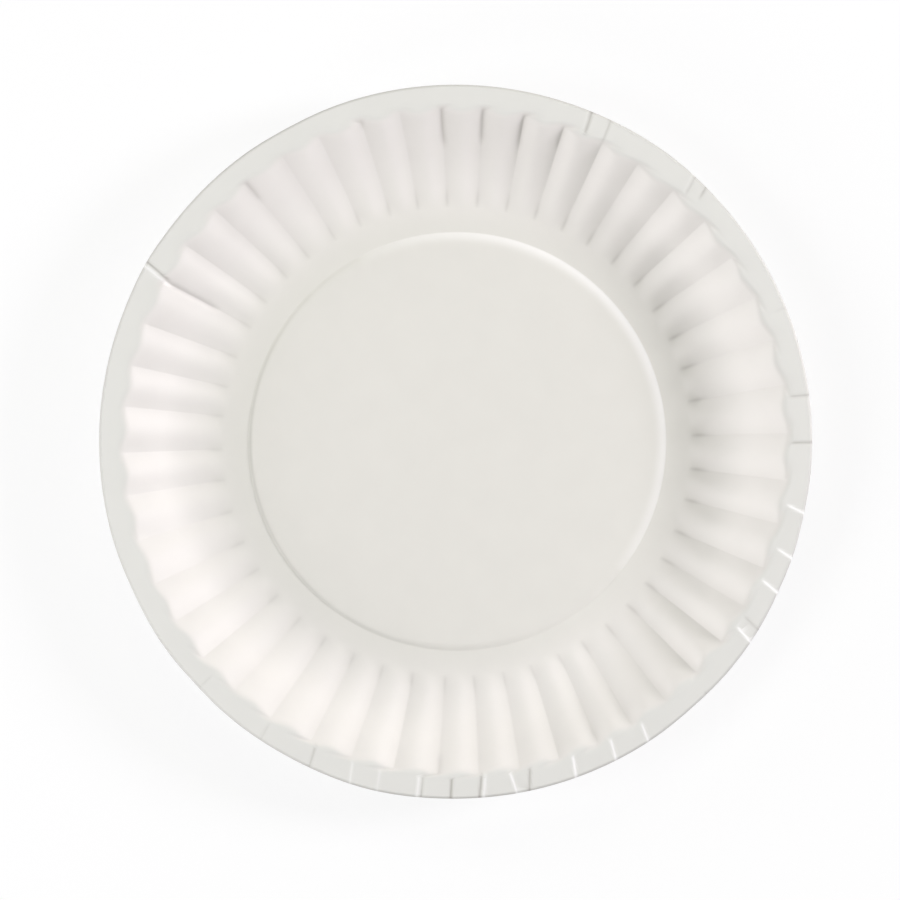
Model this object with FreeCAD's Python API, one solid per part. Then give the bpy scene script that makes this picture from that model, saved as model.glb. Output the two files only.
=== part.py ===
import FreeCAD, Part
import math
import os

Vector = FreeCAD.Vector

# A pressed paperboard plate, food side up, in millimetres.
# The origin is on its axis, in the plane that it rests on.

# Driving dimensions
base_radius = 68.0          # middle of the step round the raised centre
base_rise = 0.7             # how far the centre stands above the channel
step_run = 2.4              # radial run of the rounded step
channel_width = 4.8         # level ring that the plate rests on
wall_run = 33.0             # the wall seen from above, channel to lip
wall_angle_deg = 38.5       # slope of the wall's straight upper part
lip_width = 8.0             # level lip outside the wall
plate_height = 17.0         # resting plane to the top of the lip
board = 0.45                # thickness of the pressed board
shoulder_run = 1.5          # tangent length of the rounding from wall to lip
flute_count = 48
flute_depth = 1.0           # crease to crest
crest_share = 1.0 / 3.0     # part of that depth above the mean surface of the wall
flute_start = 2.5           # length of plain wall between the channel and the flutes
growth_length = 7.0         # length over which a flute grows to its full depth
growth_place = 0.4          # a place in that length, and how much of the depth it has there
growth_share = 0.55
bend_band_count = 2         # lengths in which a grown flute is laid round the bend of the wall
slope_band_count = 2        # and up its straight part to the shoulder

# Worked out from the sizes above
step_start = base_radius - step_run / 2.0
step_end = base_radius + step_run / 2.0
wall_start = step_end + channel_width
lip_radius = wall_start + wall_run
rim_radius = lip_radius + lip_width
lip_rise = plate_height - board
wall_angle = math.radians(wall_angle_deg)
bend_radius = (wall_run - lip_rise / math.tan(wall_angle)) / math.tan(wall_angle / 2.0)
bend_length = bend_radius * wall_angle
crest_height = flute_depth * crest_share
crease_height = crest_height - flute_depth
flute_turn = 2.0 * math.pi / flute_count


def skin_point(radius, height, slope_angle, depth):
    """A point at a depth under the top, square to a profile whose heights start at the channel's top."""
    out = radius + depth * math.sin(slope_angle)
    up = board + height - depth * math.cos(slope_angle)
    return Vector(out, 0, up)


def wall_place(length, raised):
    """Radius and height over the channel, at a length up the wall and raised square to it."""
    turned = min(length, bend_length) / bend_radius
    straight = max(length - bend_length, 0.0)
    radius = wall_start + (bend_radius - raised) * math.sin(turned) + straight * math.cos(turned)
    height = bend_radius - (bend_radius - raised) * math.cos(turned) + straight * math.sin(turned)
    return radius, height


def flute_arc(crease, crest):
    """The section of one flute, an arc from crease to crest to crease."""
    half_turn = flute_turn / 2.0
    left = Vector(crease[0] * math.cos(half_turn), -crease[0] * math.sin(half_turn), board + crease[1])
    right = Vector(left.x, -left.y, left.z)
    return Part.Arc(left, Vector(crest[0], 0, board + crest[1]), right).toShape()


def shoulder(raised, depth):
    """Length up the wall and radius on the lip, between which the shoulder bends."""
    bend_top = wall_place(bend_length, raised)
    corner = (lip_rise - depth - bend_top[1]) / math.sin(wall_angle)
    run = shoulder_run - depth * math.tan(wall_angle / 2.0)
    return bend_length + corner - run, bend_top[0] + corner * math.cos(wall_angle) + run


def flute_sections(depth):
    """Arcs across one flute, from its start up to the edge of the lip."""
    heights = [crease_height - depth, crest_height - depth]
    sections = []
    for place, share in ((0.0, 0.0), (growth_place, growth_share)):
        length = flute_start + growth_length * place
        sections.append(flute_arc(*[wall_place(length, share * (height + depth) - depth) for height in heights]))
    grown = flute_start + growth_length
    for band in range(bend_band_count + 1):
        length = grown + (bend_length - grown) * band / bend_band_count
        sections.append(flute_arc(*[wall_place(length, height) for height in heights]))
    bends = [shoulder(height, depth) for height in heights]
    for band in range(1, slope_band_count + 1):
        lengths = [bend_length + (bend[0] - bend_length) * band / slope_band_count for bend in bends]
        sections.append(flute_arc(*[wall_place(*place) for place in zip(lengths, heights)]))
    sections.append(flute_arc(*[(bend[1], lip_rise - depth) for bend in bends]))
    return sections


def centre_faces(depth):
    """Centre disc, rounded step, channel and plain start of the wall, turned about the plate's axis."""
    step_angle = 2.0 * math.atan(base_rise / step_run)
    step_bend = step_run / 2.0 / math.sin(step_angle)
    step_out = step_bend * math.sin(step_angle / 2.0)
    step_drop = step_bend * (1.0 - math.cos(step_angle / 2.0))
    wall_radius, wall_height = wall_place(flute_start, -depth)
    profile = [
        skin_point(0.0, base_rise, 0.0, depth),
        skin_point(step_start, base_rise, 0.0, depth),
        skin_point(step_start + step_out, base_rise - step_drop, -step_angle / 2.0, depth),
        skin_point(step_end - step_out, step_drop, -step_angle / 2.0, depth),
        skin_point(step_end, 0.0, 0.0, depth),
        skin_point(wall_start, 0.0, 0.0, depth),
        Vector(wall_radius, 0, board + wall_height),
    ]
    return Part.makePolygon(profile).revolve(Vector(0, 0, 0), Vector(0, 0, 1), 360).Faces


def round_about(shape):
    """A copy of a shape for every flute."""
    copies = []
    for index in range(flute_count):
        copy = shape.copy()
        copy.rotate(Vector(0, 0, 0), Vector(0, 0, 1), 360.0 * index / flute_count)
        copies.append(copy)
    return copies


def skin(depth):
    """The whole surface of the board at a depth under its top."""
    sections = flute_sections(depth)
    faces = centre_faces(depth)
    for low, high in zip(sections[:-1], sections[1:]):
        faces += round_about(Part.makeRuledSurface(low, high))
    rim = Part.makeCircle(rim_radius, Vector(0, 0, plate_height - depth))
    scallops = Part.Wire(round_about(sections[-1]))
    faces.append(Part.makeFace([Part.Wire(rim), scallops], "Part::FaceMakerBullseye"))
    return faces


def make_plate():
    """The board as one solid, closed by the cut edge of the lip."""
    edge = Part.makeCylinder(rim_radius, board, Vector(0, 0, lip_rise)).Faces[0]
    surface = Part.Compound(skin(0.0) + skin(board) + [edge])
    surface.sewShape()
    solid = Part.Solid(Part.Shell(surface.Faces))
    if solid.Volume < 0.0:
        solid.reverse()
    return solid


plate = make_plate()
print("diameter", 2.0 * rim_radius, "height", plate.BoundBox.ZLength, "volume", plate.Volume, "valid", plate.isValid())
os.makedirs("parts", exist_ok=True)
plate.exportStep("parts/plate.step")
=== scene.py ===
import bmesh
import bpy
import math
import random
from mathutils import Matrix, Vector


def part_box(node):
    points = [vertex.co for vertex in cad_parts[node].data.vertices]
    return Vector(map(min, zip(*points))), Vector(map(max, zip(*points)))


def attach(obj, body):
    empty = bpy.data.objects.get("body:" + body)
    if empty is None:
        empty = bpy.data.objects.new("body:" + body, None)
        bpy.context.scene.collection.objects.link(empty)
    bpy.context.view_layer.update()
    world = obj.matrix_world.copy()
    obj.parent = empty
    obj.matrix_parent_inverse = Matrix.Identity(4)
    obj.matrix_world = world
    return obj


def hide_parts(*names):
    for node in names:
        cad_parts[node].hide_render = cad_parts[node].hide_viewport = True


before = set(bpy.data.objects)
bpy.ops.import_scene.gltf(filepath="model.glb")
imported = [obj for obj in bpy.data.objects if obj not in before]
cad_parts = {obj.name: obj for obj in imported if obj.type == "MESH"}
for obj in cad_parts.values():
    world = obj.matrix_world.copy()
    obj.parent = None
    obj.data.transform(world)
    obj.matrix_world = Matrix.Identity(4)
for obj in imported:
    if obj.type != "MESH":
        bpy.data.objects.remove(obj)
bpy.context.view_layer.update()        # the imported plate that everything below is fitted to
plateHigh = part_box("plate")[1]
mm = 0.001
dice = random.Random(48)


# The pressed form, in millimetres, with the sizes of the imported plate
form = {
    "rimRadius": plateHigh.x / mm,
    "plateHeight": plateHigh.z / mm,
    "board": 0.45,
    "baseRadius": 68.0,         # middle of the step round the raised centre
    "baseRise": 0.7,
    "stepRun": 2.4,
    "footOut": 0.3,             # foot of the step outside its middle
    "footRun": 0.5,             # short fall at the foot
    "rollSide": math.radians(40),            # where the step's roll is widest
    "rollMean": 1.35,           # width of the roll in step runs, and how much it varies
    "rollSpread": 0.55,
    "channelWidth": 4.8,        # level ring that the plate rests on
    "wallAngle": math.radians(38.5),         # slope of the wall above its bend
    "lipWidth": 8.0,
    "shoulderRun": 1.5,         # rounding from wall to lip
}
form["stepFoot"] = form["baseRadius"] + form["footOut"]
form["wallStart"] = form["baseRadius"] + form["stepRun"] / 2 + form["channelWidth"]
form["lipRadius"] = form["rimRadius"] - form["lipWidth"]
form["lipRise"] = form["plateHeight"] - form["board"]
form["bendRadius"] = (form["lipRadius"] - form["wallStart"] - form["lipRise"] / math.tan(form["wallAngle"]))
form["bendRadius"] /= math.tan(form["wallAngle"] / 2)
form["bendRun"] = form["bendRadius"] * math.sin(form["wallAngle"])

# The flutes pressed into the wall
flutes = {
    "count": 48,
    "depth": 0.75,              # crease to crest on the wall
    "shoulderDepth": 1.1,       # and at the shoulder
    "deepFrom": 99,             # where it starts to deepen, and over how far
    "deepRun": 6,
    "crestShare": 0.35,         # part of the depth above the mean wall
    "wave": 0.8,                # how far the creases are rounded into waves
    "start": 76.3,              # where the flutes set in, off the axis
    "growthLength": 5.5,        # from there to full depth
    "growthPower": 2.2,         # how fast they grow at first
    "firstCrease": 100.0,       # degrees round from +X
    "swings": ((0.5, 275), (1.6, 125), (0.6, 110)),     # off even spacing, once to thrice round
    "creaseJitter": 0.3,        # degrees
    "depthSpread": 0.16,        # how unequal the flutes are
    "grooveDepth": 0.04,        # the fold along each crease
    "grooveHalf": 0.6,
    "paintedFoldShade": 0.1,           # painted shade on the fold at its inner end, how dark
    "foldShadeMore": 1.6,       # how much stronger that painted shade is on its shadowed side
    "foldShadeSide": 20,        # degrees
    "foldShadePlace": 2.5,      # middle and half length of that end, past the start
    "foldShadeHalf": 3.2,
    "hardHalf": 0.95,           # half width of the creases that are folded harder
    "paintedDipShade": 0.085,          # painted shade: how much greyer the board is made towards the creases
    "grownRadius": 84.0,        # off the axis, past which all flutes are grown
    "columns": 16,              # mesh columns in a flute
}

# Where the painted shade in the dips is stronger or weaker, to match the photo: degrees, shade, half width
# in degrees
paintedDipShadeChanges = (
    (55.0, 0.06, 20.0), (92.0, 0.03, 15.0), (130.0, 0.05, 18.0), (190.0, -0.045, 30.0), (262.0, 0.05, 22.0),
    (325.0, 0.06, 16.0),
)

# Creases that are folded harder: degrees, from and to off the axis in mm, extra depth in mm, painted shade
hardCreases = (
    (78.3, 96.0, 110.0, 0.25, 0.22),
    (85.3, 96.0, 110.0, 0.30, 0.26),
    (92.2, 95.0, 110.0, 0.30, 0.26),
    (106.0, 104.0, 111.0, 0.35, 0.24),
    (128.0, 99.0, 110.0, 0.35, 0.24),
    (151.5, 88.0, 112.0, 0.35, 0.18),
    (71.0, 99.0, 109.0, 0.15, 0.12),
    (267.0, 100.0, 110.0, 0.15, 0.12),
)

# Small folds in the lip: degrees, lean in degrees, how far in from the rim in mm,
# step up going round and groove in mm, painted tone (shade in the fold above nothing, highlight below)
lipTucks = (
    (149.6, -0.85, 10.0, 0.00, 0.40, 0.50),
    (150.3, -0.85, 11.0, -0.10, -0.20, -0.80),
    (224.0, 0.0, 7.0, 0.05, 0.10, 0.12),
    (237.0, 0.3, 7.0, 0.10, 0.08, 0.16),
    (246.0, 0.6, 8.5, 0.22, 0.08, 0.34),
    (253.0, 0.75, 8.0, 0.10, 0.05, -0.35),
    (257.5, 0.3, 8.0, -0.20, 0.00, -0.30),
    (264.0, 0.0, 8.5, -0.10, -0.10, -0.60),
    (264.7, 0.0, 8.5, -0.06, 0.26, 0.30),
    (269.5, -0.15, 8.0, 0.32, 0.20, 0.60),
    (274.1, -0.65, 8.5, 0.00, 0.22, 0.60),
    (274.8, -0.65, 8.5, -0.08, -0.15, -0.60),
    (280.2, 0.65, 8.5, -0.28, -0.10, -0.70),
    (282.2, -1.0, 8.5, 0.12, 0.15, 0.50),
    (290.0, -0.85, 8.5, -0.28, -0.10, -0.80),
    (297.0, -0.9, 8.5, -0.28, -0.10, -0.65),
    (303.0, -0.9, 7.5, -0.28, -0.05, -0.60),
    (315.0, 0.0, 2.0, -0.10, 0.30, 0.20),
    (326.0, -1.1, 7.5, -0.30, -0.10, -0.85),
    (328.3, -0.9, 7.0, 0.10, 0.08, 0.22),
    (335.0, -1.1, 7.5, -0.30, -0.05, -0.80),
    (341.0, -1.1, 6.5, -0.26, -0.05, -0.80),
    (348.5, -1.1, 7.0, -0.28, -0.05, -0.80),
    (359.9, 0.1, 8.0, 0.05, 0.24, 0.42),
    (7.5, -0.25, 7.5, 0.05, 0.20, 0.32),
    (22.0, 0.0, 5.0, 0.00, 0.08, 0.08),
    (45.3, 1.1, 5.0, -0.16, 0.10, 0.32),
    (47.7, 1.1, 7.0, 0.12, 0.10, 0.25),
    (48.3, 1.1, 7.0, -0.05, -0.05, -0.15),
    (64.0, 0.35, 9.0, -0.14, 0.08, 0.24),
    (67.3, 0.35, 9.0, -0.12, 0.16, 0.45),
    (67.9, 0.35, 9.0, -0.08, -0.05, -0.12),
)

# What the folds in the lip have in common, in mm
tuckShape = {
    "zone": 13,                 # how far in from the rim any of them reaches
    "side": 9,                  # how far to either side
    "fadeRun": 2.5,
    "stepHalf": 0.16,
    "stepReach": 1.8,           # how far off the fold the step fades
    "grooveHalf": 0.34,
    "toneHalf": 0.42,
    "pull": 0.82,               # how strongly the mesh columns crowd to a fold
    "pullHalf": math.radians(1.5),
}

# Light and shade painted on the step to match the photo: a painted highlight on its wide side, painted
# shade on its tight one
paintedStepLight = {
    "pale": 0.62,
    "paleNarrowing": 1.15,      # how much narrower than half the plate
    "paleStart": 4.6,           # from this far inside the foot, in mm
    "paleRun": 4.2,
    "dark": 0.26,
    "darkSide": math.radians(182),
    "darkHalf": 42,             # degrees
    "darkPlace": 0.8,           # inside the foot, in mm
    "darkWidth": 0.5,
}

# Where the rim is out of round: degrees, mm, half width in degrees
rimSwells = (
    (256.0, 0.45, 9.0), (54.0, 0.28, 8.0), (150.0, 0.28, 5.0), (118.0, -0.3, 6.0), (205.0, -0.3, 6.0),
    (223.0, -0.3, 5.0), (312.0, -0.3, 6.0), (336.0, -0.3, 6.0), (348.0, -0.3, 5.0),
)


def smoothMin(a, b, reach):
    near = max(reach - abs(a - b), 0.0)
    return min(a, b) - near * near / (4 * reach)


def smoothStep(x):
    x = min(max(x, 0.0), 1.0)
    return x * x * (3 - 2 * x)


def turnBetween(a, b):
    return (a - b + math.pi) % (2 * math.pi) - math.pi


def creaseAngles():
    angles = []
    for index in range(flutes["count"]):
        turn = index / flutes["count"] * 2 * math.pi + math.radians(flutes["firstCrease"])
        shift = dice.uniform(-1, 1) * flutes["creaseJitter"]
        for times, (swing, peak) in enumerate(flutes["swings"], 1):
            shift += swing * math.cos(times * turn - math.radians(peak))
        angles.append(turn + math.radians(shift))
    angles.append(angles[0] + 2 * math.pi)
    return angles


def ringRadii():
    # radii between which the mesh has evenly spaced rings, and how many up to each
    foot, lip, closeRings = form["stepFoot"], form["lipRadius"], 2.4
    stops = (
        (0.0, 1), (foot - form["stepRun"] * 2, 3), (foot - closeRings, 3), (foot, 7),
        (foot + form["footRun"], 2), (form["wallStart"], 2), (flutes["grownRadius"], 9),
        (lip - closeRings, 15), (lip + closeRings, 12), (form["rimRadius"], 6),
    )
    radii = [0.0]
    for (start, _), (end, bands) in zip(stops[:-1], stops[1:]):
        radii += [start + (end - start) * band / bands for band in range(1, bands + 1)]
    return radii


def spunDisc(radii, columns):
    bm = bmesh.new()
    verts = [bm.verts.new((radius, 0, 0)) for radius in radii]
    edges = [bm.edges.new(pair) for pair in zip(verts[:-1], verts[1:])]
    bmesh.ops.spin(bm, geom=verts + edges, axis=(0, 0, 1), steps=columns, angle=2 * math.pi, use_merge=True)
    bmesh.ops.remove_doubles(bm, verts=bm.verts, dist=1e-4)
    bmesh.ops.recalc_face_normals(bm, faces=bm.faces)
    if sum(face.normal.z for face in bm.faces) < 0:
        bmesh.ops.reverse_faces(bm, faces=bm.faces)
    return bm


def wallColumn(column, creases):
    # on the wall the columns crowd towards the creases
    flute, place = divmod(column, flutes["columns"])
    share = (1 - math.cos(math.pi * place / flutes["columns"])) / 2
    return creases[flute] + (creases[flute + 1] - creases[flute]) * share, flute, share


def tuckAngle(tuck, radius):
    return math.radians(tuck[0] + tuck[1] * (radius - form["rimRadius"]) / form["lipWidth"])


def lipColumn(angle, radius):
    # on the lip they crowd towards the nearest tuck
    off = min((turnBetween(angle, tuckAngle(tuck, radius)) for tuck in lipTucks), key=abs)
    return angle - tuckShape["pull"] * off * math.exp(-(off / tuckShape["pullHalf"]) ** 2)


def tuckForm(angle, radius):
    height, shade = 0.0, 0.0
    if radius < form["rimRadius"] - tuckShape["zone"]:
        return height, shade
    for tuck in lipTucks:
        reach, stepUp, groove, tone = tuck[2:]
        along = turnBetween(angle, tuckAngle(tuck, radius)) * radius
        if abs(along) > tuckShape["side"]:
            continue
        fade = smoothStep((radius - form["rimRadius"] + reach) / tuckShape["fadeRun"])
        step = stepUp * 0.5 * math.tanh(along / tuckShape["stepHalf"])
        step *= math.exp(-abs(along) / tuckShape["stepReach"])
        height += fade * (step - groove * math.exp(-(along / tuckShape["grooveHalf"]) ** 2))
        # painted shade along each fold, or a painted highlight where its tone is below nothing
        shade += fade * tone * math.exp(-(along / tuckShape["toneHalf"]) ** 2)
    return height, shade


def rimShift(angle, radius):
    shift = 0.0
    for degrees, swell, half in rimSwells:
        off = math.degrees(turnBetween(angle, math.radians(degrees)))
        shift += swell * math.exp(-(off / half) ** 2)
    return shift * smoothStep((radius - form["lipRadius"]) / form["lipWidth"])


def dipShadeAt(angle):
    shade = flutes["paintedDipShade"]
    for degrees, extra, half in paintedDipShadeChanges:
        shade += extra * math.exp(-(math.degrees(turnBetween(angle, math.radians(degrees))) / half) ** 2)
    return shade


def innerShadeAt(angle):
    # painted shade at the inner ends of the creases, darkest on the right, to match the photo
    facing = max(math.cos(angle - math.radians(flutes["foldShadeSide"])), 0.0)
    return flutes["paintedFoldShade"] * (1 + flutes["foldShadeMore"] * facing)


def fluteForm(share, radius, pitch, paintedDipShade, innerShade, hardness):
    across = abs(2 * share - 1)                  # 0 on the crest, 1 in the crease
    off = (1 - across) * pitch * radius / 2      # from the nearer crease, in mm
    grown = min(max((radius - flutes["start"]) / flutes["growthLength"], 0.0), 1.0)
    growth = 1 - (1 - grown) ** flutes["growthPower"]
    fold = math.exp(-(off / flutes["grooveHalf"]) ** 2)
    folded, waved = across ** 2, (1 - math.cos(math.pi * across)) / 2
    hard = math.exp(-(off / flutes["hardHalf"]) ** 2)
    deeper = smoothStep((radius - flutes["deepFrom"]) / flutes["deepRun"])
    depth = flutes["depth"] + (flutes["shoulderDepth"] - flutes["depth"]) * deeper
    height = depth * (flutes["crestShare"] - folded - (waved - folded) * flutes["wave"])
    height -= fold * flutes["grooveDepth"] + hard * hardness[0]
    onWall = smoothStep((form["lipRadius"] + 2.5 - radius) / 2.5)
    past = (radius - flutes["start"] - flutes["foldShadePlace"]) / flutes["foldShadeHalf"]
    inner = smoothStep(grown * 4) * math.exp(-past ** 2)
    # painted shade in the dips, at the inner ends of the creases and along the harder creases
    shade = onWall * (paintedDipShade * growth * folded + fold * innerShade * inner + hard * hardness[1])
    return growth * height, shade


def hardnessAt(angle, radius):
    depth, shade = 0.0, 0.0
    for degrees, start, end, extra, dark in hardCreases:
        if abs(turnBetween(angle, math.radians(degrees))) > math.radians(3.0):
            continue
        fade = smoothStep((radius - start) / 4) * smoothStep((end - radius) / 3)
        depth, shade = depth + extra * fade, shade + dark * fade
    return depth, shade


def paintedStepLightAt(angle, radius):
    # a painted highlight on the wide side of the step and a line of painted shade on the tight side
    facing = max(math.cos(turnBetween(angle, form["rollSide"]) * paintedStepLight["paleNarrowing"]), 0.0) ** 0.5
    rise = smoothStep((radius - form["stepFoot"] + paintedStepLight["paleStart"]) / paintedStepLight["paleRun"])
    pale = paintedStepLight["pale"] * facing * rise ** 1.5 * smoothStep((form["stepFoot"] + 0.3 - radius) / 0.4)
    turned = math.degrees(turnBetween(angle, paintedStepLight["darkSide"]))
    behind = math.exp(-(turned / paintedStepLight["darkHalf"]) ** 2)
    line = (radius - form["stepFoot"] + paintedStepLight["darkPlace"]) / paintedStepLight["darkWidth"]
    return paintedStepLight["dark"] * behind * math.exp(-line ** 2) - pale


def topHeight(radius, angle, relief):
    # the step is a wide roll on one side of the plate and a tight one on the other
    roll = form["stepRun"] * (form["rollMean"] + form["rollSpread"] * math.cos(angle - form["rollSide"]))
    down = min(max((radius - form["stepFoot"] + roll) / roll, 0.0), 1.0)
    step = (1 - down * down) * smoothStep((form["stepFoot"] + form["footRun"] - radius) / form["footRun"])
    out = max(radius - form["wallStart"], 0.0)
    bent = min(out, form["bendRun"])
    drop = math.sqrt(form["bendRadius"] ** 2 - bent ** 2)
    wall = form["bendRadius"] - drop + (out - bent) * math.tan(form["wallAngle"])
    wall = max(wall + relief * form["bendRadius"] / drop, 0.0)     # no crease goes below the resting ring
    lipShare = smoothStep((wall - form["lipRise"]) / form["shoulderRun"] + 0.5)
    wall = smoothMin(wall, form["lipRise"], form["shoulderRun"] * math.tan(form["wallAngle"]))
    return form["board"] + form["baseRise"] * step + wall, lipShare


def makePlate():
    radii = ringRadii()
    columns = flutes["count"] * flutes["columns"]
    bm = spunDisc(radii, columns)
    paintedToneLayer = bm.verts.layers.float.new("paintedShadeAndHighlight")
    lipShares = bm.verts.layers.float.new("lipShare")
    creases = creaseAngles()
    deepness = [1 + dice.gauss(0, flutes["depthSpread"]) for _ in range(flutes["count"])]
    deepness.append(deepness[0])
    for vert in bm.verts:
        radius = vert.co.xy.length
        if radius < 1e-6:
            vert.co.z = topHeight(0.0, 0.0, 0.0)[0]
            continue
        column = round(math.atan2(vert.co.y, vert.co.x) / (2 * math.pi) * columns) % columns
        wallAngle, flute, share = wallColumn(column, creases)
        even = creases[0] + 2 * math.pi * column / columns
        onLip = smoothStep((radius - form["lipRadius"]) / 2.0)
        angle = wallAngle + (lipColumn(even, radius) - wallAngle) * onLip
        nearCrease = creases[flute] if share < 0.5 else creases[flute + 1]
        pitch = creases[flute + 1] - creases[flute]
        shadeHere = (dipShadeAt(angle), innerShadeAt(angle))
        relief, paintedFoldShade = fluteForm(share, radius, pitch, *shadeHere, hardnessAt(nearCrease, radius))
        relief *= deepness[flute] * (1 - share) + deepness[flute + 1] * share
        tuckHeight, tuckPaintedLight = tuckForm(angle, radius)
        cutEdge = coat["edgeShade"] if radius > form["rimRadius"] - 0.1 else 0.0
        # painted shade and highlights of the creases, the lip's folds and the step, and the darker cut edge
        vert[paintedToneLayer] = paintedFoldShade + tuckPaintedLight + cutEdge + paintedStepLightAt(angle, radius)
        height, vert[lipShares] = topHeight(radius, angle, relief)
        out = radius + rimShift(angle, radius)
        vert.co = (out * math.cos(angle), out * math.sin(angle), height + tuckHeight)
    bmesh.ops.scale(bm, vec=(mm, mm, mm), verts=bm.verts)
    mesh = bpy.data.meshes.new("pressedPlate")
    bm.to_mesh(mesh)
    bm.free()
    for polygon in mesh.polygons:
        polygon.use_smooth = True
    plate = bpy.data.objects.new("pressedPlate", mesh)
    bpy.context.scene.collection.objects.link(plate)
    wall = plate.modifiers.new("board", "SOLIDIFY")
    wall.thickness = form["board"] * mm
    wall.offset = -1
    return plate


# Coated white board with faint fibres in it; centre, wall and lip are toned to match the photo, the wall
# paler as a painted sheen
coat = {
    "centre": (0.72, 0.71, 0.66, 1),
    # the paler wall tone is painted sheen
    "wall": (0.79, 0.77, 0.73, 1),
    "lip": (0.72, 0.72, 0.68, 1),
    # the colours towards which painted shade and painted highlights mix the board
    "paintedShadeColour": (0.30, 0.28, 0.25, 1),
    "paintedHighlightColour": (0.97, 0.965, 0.95, 1),
    "edgeShade": 0.3,           # how dark the cut edge is painted
    "mottle": 0.012,
    "cloudScale": 90,
    "fibreScale": 1500,
    "roughness": 0.57,
    "roughnessSpread": 0.06,
    "fibreHeight": 0.00001,     # metres
}


def mottleGroup():
    group = bpy.data.node_groups.new("boardMottle", "ShaderNodeTree")
    group.interface.new_socket("Position", in_out="INPUT", socket_type="NodeSocketVector")
    group.interface.new_socket("Clouds", in_out="OUTPUT", socket_type="NodeSocketFloat")
    group.interface.new_socket("Fibres", in_out="OUTPUT", socket_type="NodeSocketFloat")
    nodes = group.nodes
    links = group.links
    start = nodes.new("NodeGroupInput")
    end = nodes.new("NodeGroupOutput")
    clouds = nodes.new("ShaderNodeTexNoise")
    clouds.inputs["Scale"].default_value = coat["cloudScale"]
    clouds.inputs["Detail"].default_value = 3
    fibres = nodes.new("ShaderNodeTexNoise")
    fibres.inputs["Scale"].default_value = coat["fibreScale"]
    fibres.inputs["Detail"].default_value = 4
    fibres.inputs["Roughness"].default_value = 0.6
    for noise in (clouds, fibres):
        links.new(start.outputs["Position"], noise.inputs["Vector"])
    links.new(clouds.outputs["Fac"], end.inputs["Clouds"])
    links.new(fibres.outputs["Fac"], end.inputs["Fibres"])
    return group


def ringGroup():
    group = bpy.data.node_groups.new("ringMask", "ShaderNodeTree")
    group.interface.new_socket("Position", in_out="INPUT", socket_type="NodeSocketVector")
    group.interface.new_socket("From", in_out="INPUT", socket_type="NodeSocketFloat")
    group.interface.new_socket("To", in_out="INPUT", socket_type="NodeSocketFloat")
    group.interface.new_socket("Mask", in_out="OUTPUT", socket_type="NodeSocketFloat")
    nodes = group.nodes
    links = group.links
    start = nodes.new("NodeGroupInput")
    end = nodes.new("NodeGroupOutput")
    flat = nodes.new("ShaderNodeVectorMath")
    flat.operation = "MULTIPLY"
    flat.inputs[1].default_value = (1, 1, 0)
    length = nodes.new("ShaderNodeVectorMath")
    length.operation = "LENGTH"
    ramp = nodes.new("ShaderNodeMapRange")
    ramp.interpolation_type = "SMOOTHSTEP"
    links.new(start.outputs["Position"], flat.inputs[0])
    links.new(flat.outputs[0], length.inputs[0])
    links.new(length.outputs["Value"], ramp.inputs["Value"])
    links.new(start.outputs["From"], ramp.inputs["From Min"])
    links.new(start.outputs["To"], ramp.inputs["From Max"])
    links.new(ramp.outputs["Result"], end.inputs["Mask"])
    return group


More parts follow.
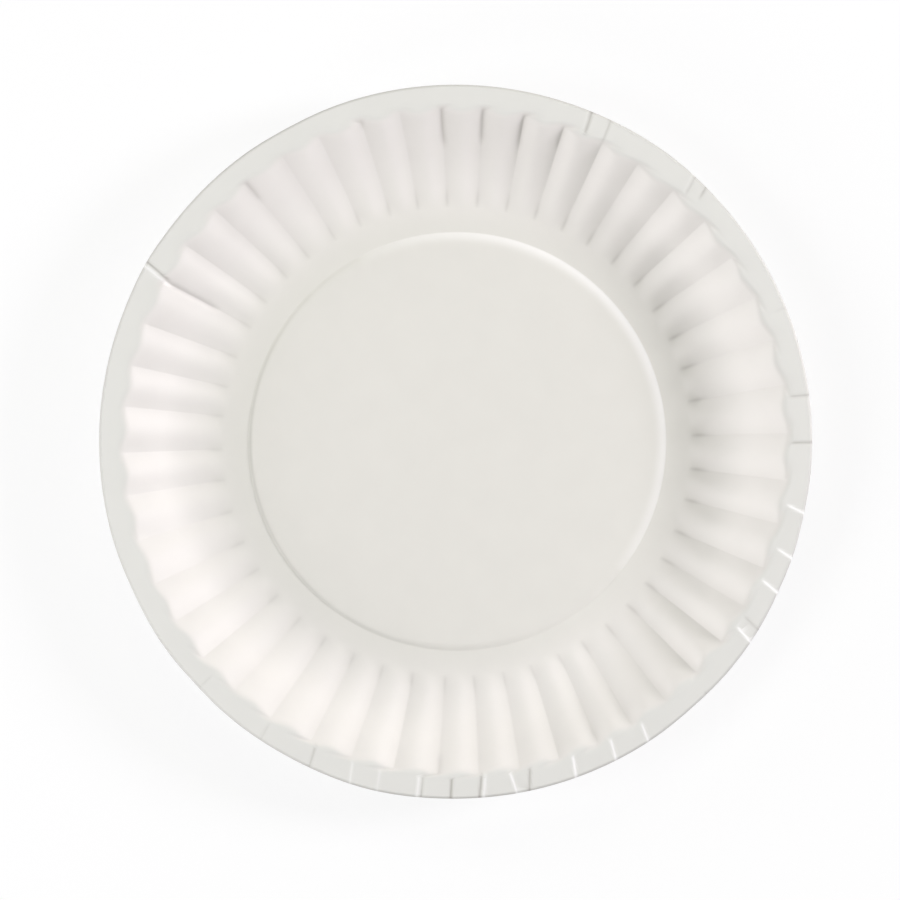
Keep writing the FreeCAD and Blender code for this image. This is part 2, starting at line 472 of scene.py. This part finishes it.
def boardMaterial():
    material = bpy.data.materials.new("coatedBoard")
    material.use_nodes = True
    nodes = material.node_tree.nodes
    links = material.node_tree.links
    shader = nodes["Principled BSDF"]
    place = nodes.new("ShaderNodeTexCoord")
    mottle = nodes.new("ShaderNodeGroup")
    mottle.node_tree = mottleGroup()
    links.new(place.outputs["Object"], mottle.inputs["Position"])
    ring = nodes.new("ShaderNodeGroup")
    ring.node_tree = ringGroup()
    ring.inputs["From"].default_value = form["baseRadius"] * mm
    ring.inputs["To"].default_value = flutes["grownRadius"] * mm
    links.new(place.outputs["Object"], ring.inputs["Position"])
    lipShare = nodes.new("ShaderNodeAttribute")
    lipShare.attribute_name = "lipShare"
    wallTone = nodes.new("ShaderNodeMix")
    wallTone.data_type = "RGBA"
    wallTone.inputs["A"].default_value = coat["centre"]
    wallTone.inputs["B"].default_value = coat["wall"]
    links.new(ring.outputs["Mask"], wallTone.inputs["Factor"])
    lipTone = nodes.new("ShaderNodeMix")
    lipTone.data_type = "RGBA"
    lipTone.inputs["B"].default_value = coat["lip"]
    links.new(lipShare.outputs["Fac"], lipTone.inputs["Factor"])
    links.new(wallTone.outputs["Result"], lipTone.inputs["A"])
    cloudy = nodes.new("ShaderNodeMapRange")
    cloudy.inputs["To Min"].default_value = 1 - coat["mottle"] * 2
    cloudy.inputs["To Max"].default_value = 1 + coat["mottle"] * 2
    links.new(mottle.outputs["Clouds"], cloudy.inputs["Value"])
    tinted = nodes.new("ShaderNodeVectorMath")
    tinted.operation = "SCALE"
    links.new(lipTone.outputs["Result"], tinted.inputs[0])
    links.new(cloudy.outputs["Result"], tinted.inputs["Scale"])
    # painted shade darkens the board and painted highlights pale it, both carried in one attribute
    fold = nodes.new("ShaderNodeAttribute")
    fold.attribute_name = "paintedShadeAndHighlight"
    pale = nodes.new("ShaderNodeMath")
    pale.operation = "MULTIPLY"
    pale.inputs[1].default_value = -1
    links.new(fold.outputs["Fac"], pale.inputs[0])
    tone = tinted.outputs["Vector"]
    for amount, colour in ((fold.outputs["Fac"], "paintedShadeColour"), (pale.outputs[0], "paintedHighlightColour")):
        blend = nodes.new("ShaderNodeMix")
        blend.data_type = "RGBA"
        blend.inputs["B"].default_value = coat[colour]
        links.new(amount, blend.inputs["Factor"])
        links.new(tone, blend.inputs["A"])
        tone = blend.outputs["Result"]
    links.new(tone, shader.inputs["Base Color"])
    gloss = nodes.new("ShaderNodeMapRange")
    gloss.inputs["To Min"].default_value = coat["roughness"] - coat["roughnessSpread"]
    gloss.inputs["To Max"].default_value = coat["roughness"] + coat["roughnessSpread"]
    links.new(mottle.outputs["Fibres"], gloss.inputs["Value"])
    links.new(gloss.outputs["Result"], shader.inputs["Roughness"])
    bump = nodes.new("ShaderNodeBump")
    bump.inputs["Distance"].default_value = coat["fibreHeight"]
    links.new(mottle.outputs["Fibres"], bump.inputs["Height"])
    links.new(bump.outputs["Normal"], shader.inputs["Normal"])
    return material


plate = makePlate()
plate.data.materials.append(boardMaterial())     # the board is one material all over
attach(plate, "root")
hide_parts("plate")
print("plate", len(plate.data.polygons), "faces on the food side")


# The table, which shows almost white to the camera and keeps a faint shadow
table = {"size": 3.0, "colour": (0.92, 0.92, 0.92, 1), "roughness": 0.9, "whiteShare": 0.85}


def seenWhite(nodes, links):
    # 1 for the rays that show the background, straight or in a reflection
    rays = nodes.new("ShaderNodeLightPath")
    value = rays.outputs["Is Camera Ray"]
    for kind in ("Is Glossy Ray", "Is Transmission Ray"):
        either = nodes.new("ShaderNodeMath")
        either.operation = "MAXIMUM"
        links.new(value, either.inputs[0])
        links.new(rays.outputs[kind], either.inputs[1])
        value = either.outputs[0]
    return value


def makeTable():
    bm = bmesh.new()
    bmesh.ops.create_grid(bm, x_segments=2, y_segments=2, size=table["size"])
    mesh = bpy.data.meshes.new("table")
    bm.to_mesh(mesh)
    bm.free()
    floor = bpy.data.objects.new("table", mesh)
    bpy.context.scene.collection.objects.link(floor)
    material = bpy.data.materials.new("tableWhite")
    material.use_nodes = True
    nodes = material.node_tree.nodes
    links = material.node_tree.links
    shader = nodes["Principled BSDF"]
    shader.inputs["Base Color"].default_value = table["colour"]
    shader.inputs["Roughness"].default_value = table["roughness"]
    glow = nodes.new("ShaderNodeEmission")
    share = nodes.new("ShaderNodeMath")
    share.operation = "MULTIPLY"
    share.inputs[1].default_value = table["whiteShare"]
    mix = nodes.new("ShaderNodeMixShader")
    links.new(seenWhite(nodes, links), share.inputs[0])
    links.new(share.outputs[0], mix.inputs[0])
    links.new(shader.outputs[0], mix.inputs[1])
    links.new(glow.outputs[0], mix.inputs[2])
    links.new(mix.outputs[0], nodes["Material Output"].inputs[0])
    floor.data.materials.append(material)
    return floor


makeTable()
print("table")


# Soft lamps: degrees round from +X and up, metres wide, and the level on a face turned to the lamp
lampDistance = 1.5
lamps = {
    "keySoftbox": {"round": 11, "up": 22.5, "wide": 0.4, "level": 1.1, "colour": (0.94, 0.91, 0.97)},
    "upperRightFill": {"round": 60, "up": 18, "wide": 0.5, "level": 0.15, "colour": (1, 1, 0.95)},
    "topFill": {"round": 90, "up": 42, "wide": 0.5, "level": 0.15, "colour": (1, 1, 0.75)},
    "upperLeftFill": {"round": 150, "up": 18, "wide": 0.5, "level": 0.3, "colour": (0.9, 0.85, 0.95)},
    "leftSoftbox": {"round": 190, "up": 42, "wide": 0.7, "level": 0.45, "colour": (0.92, 0.96, 0.97)},
    "lowSoftbox": {"round": 225, "up": 18, "wide": 0.7, "level": 0.55, "colour": (1, 0.95, 0.97)},
}


def aimed(place, target, upward):
    back = (place - target).normalized()
    right = upward.cross(back).normalized()
    turn = Matrix((right, back.cross(right), back)).transposed()
    return Matrix.Translation(place) @ turn.to_4x4()


def pointAround(centre, roundAngle, upAngle, away):
    turn, lift = math.radians(roundAngle), math.radians(upAngle)
    direction = (math.cos(lift) * math.cos(turn), math.cos(lift) * math.sin(turn), math.sin(lift))
    return centre + away * Vector(direction)


def makeLamp(name, lamp):
    light = bpy.data.lights.new(name, "AREA")
    light.shape = "DISK"
    light.size = lamp["wide"]
    light.energy = lamp["level"] * math.pi ** 2 * lampDistance ** 2
    light.color = lamp["colour"]
    holder = bpy.data.objects.new(name, light)
    bpy.context.scene.collection.objects.link(holder)
    centre = Vector((0, 0, plateHigh.z))
    place = pointAround(centre, lamp["round"], lamp["up"], lampDistance)
    holder.matrix_world = aimed(place, centre, Vector((0, 0, 1)))


def makeWorld():
    world = bpy.data.worlds.new("studio")
    bpy.context.scene.world = world
    world.use_nodes = True
    nodes = world.node_tree.nodes
    links = world.node_tree.links
    nodes["Background"].inputs["Color"].default_value = (1, 1, 1, 1)
    links.new(seenWhite(nodes, links), nodes["Background"].inputs["Strength"])


for name, lamp in lamps.items():
    makeLamp(name, lamp)
makeWorld()
print("lamps", len(lamps))


# The camera, almost straight above
view = {
    "away": 1.2,                # metres
    "tilt": 2.7,                # degrees off straight down, and towards which side
    "tiltRound": 11,
    "wide": 0.290,              # metres across the picture
    "aimX": -1.31,              # mm
    "aimY": -2.6,
    "sensor": 36.0,
}


def makeCamera():
    data = bpy.data.cameras.new("camera")
    data.sensor_width = view["sensor"]
    data.lens = view["sensor"] * view["away"] / view["wide"]
    camera = bpy.data.objects.new("camera", data)
    bpy.context.scene.collection.objects.link(camera)
    target = Vector((view["aimX"] * mm, view["aimY"] * mm, plateHigh.z))
    place = pointAround(target, view["tiltRound"], 90 - view["tilt"], view["away"])
    camera.matrix_world = aimed(place, target, Vector((0, 1, 0)))
    bpy.context.scene.camera = camera


makeCamera()
bpy.context.scene.view_settings.view_transform = "Standard"
print("camera")
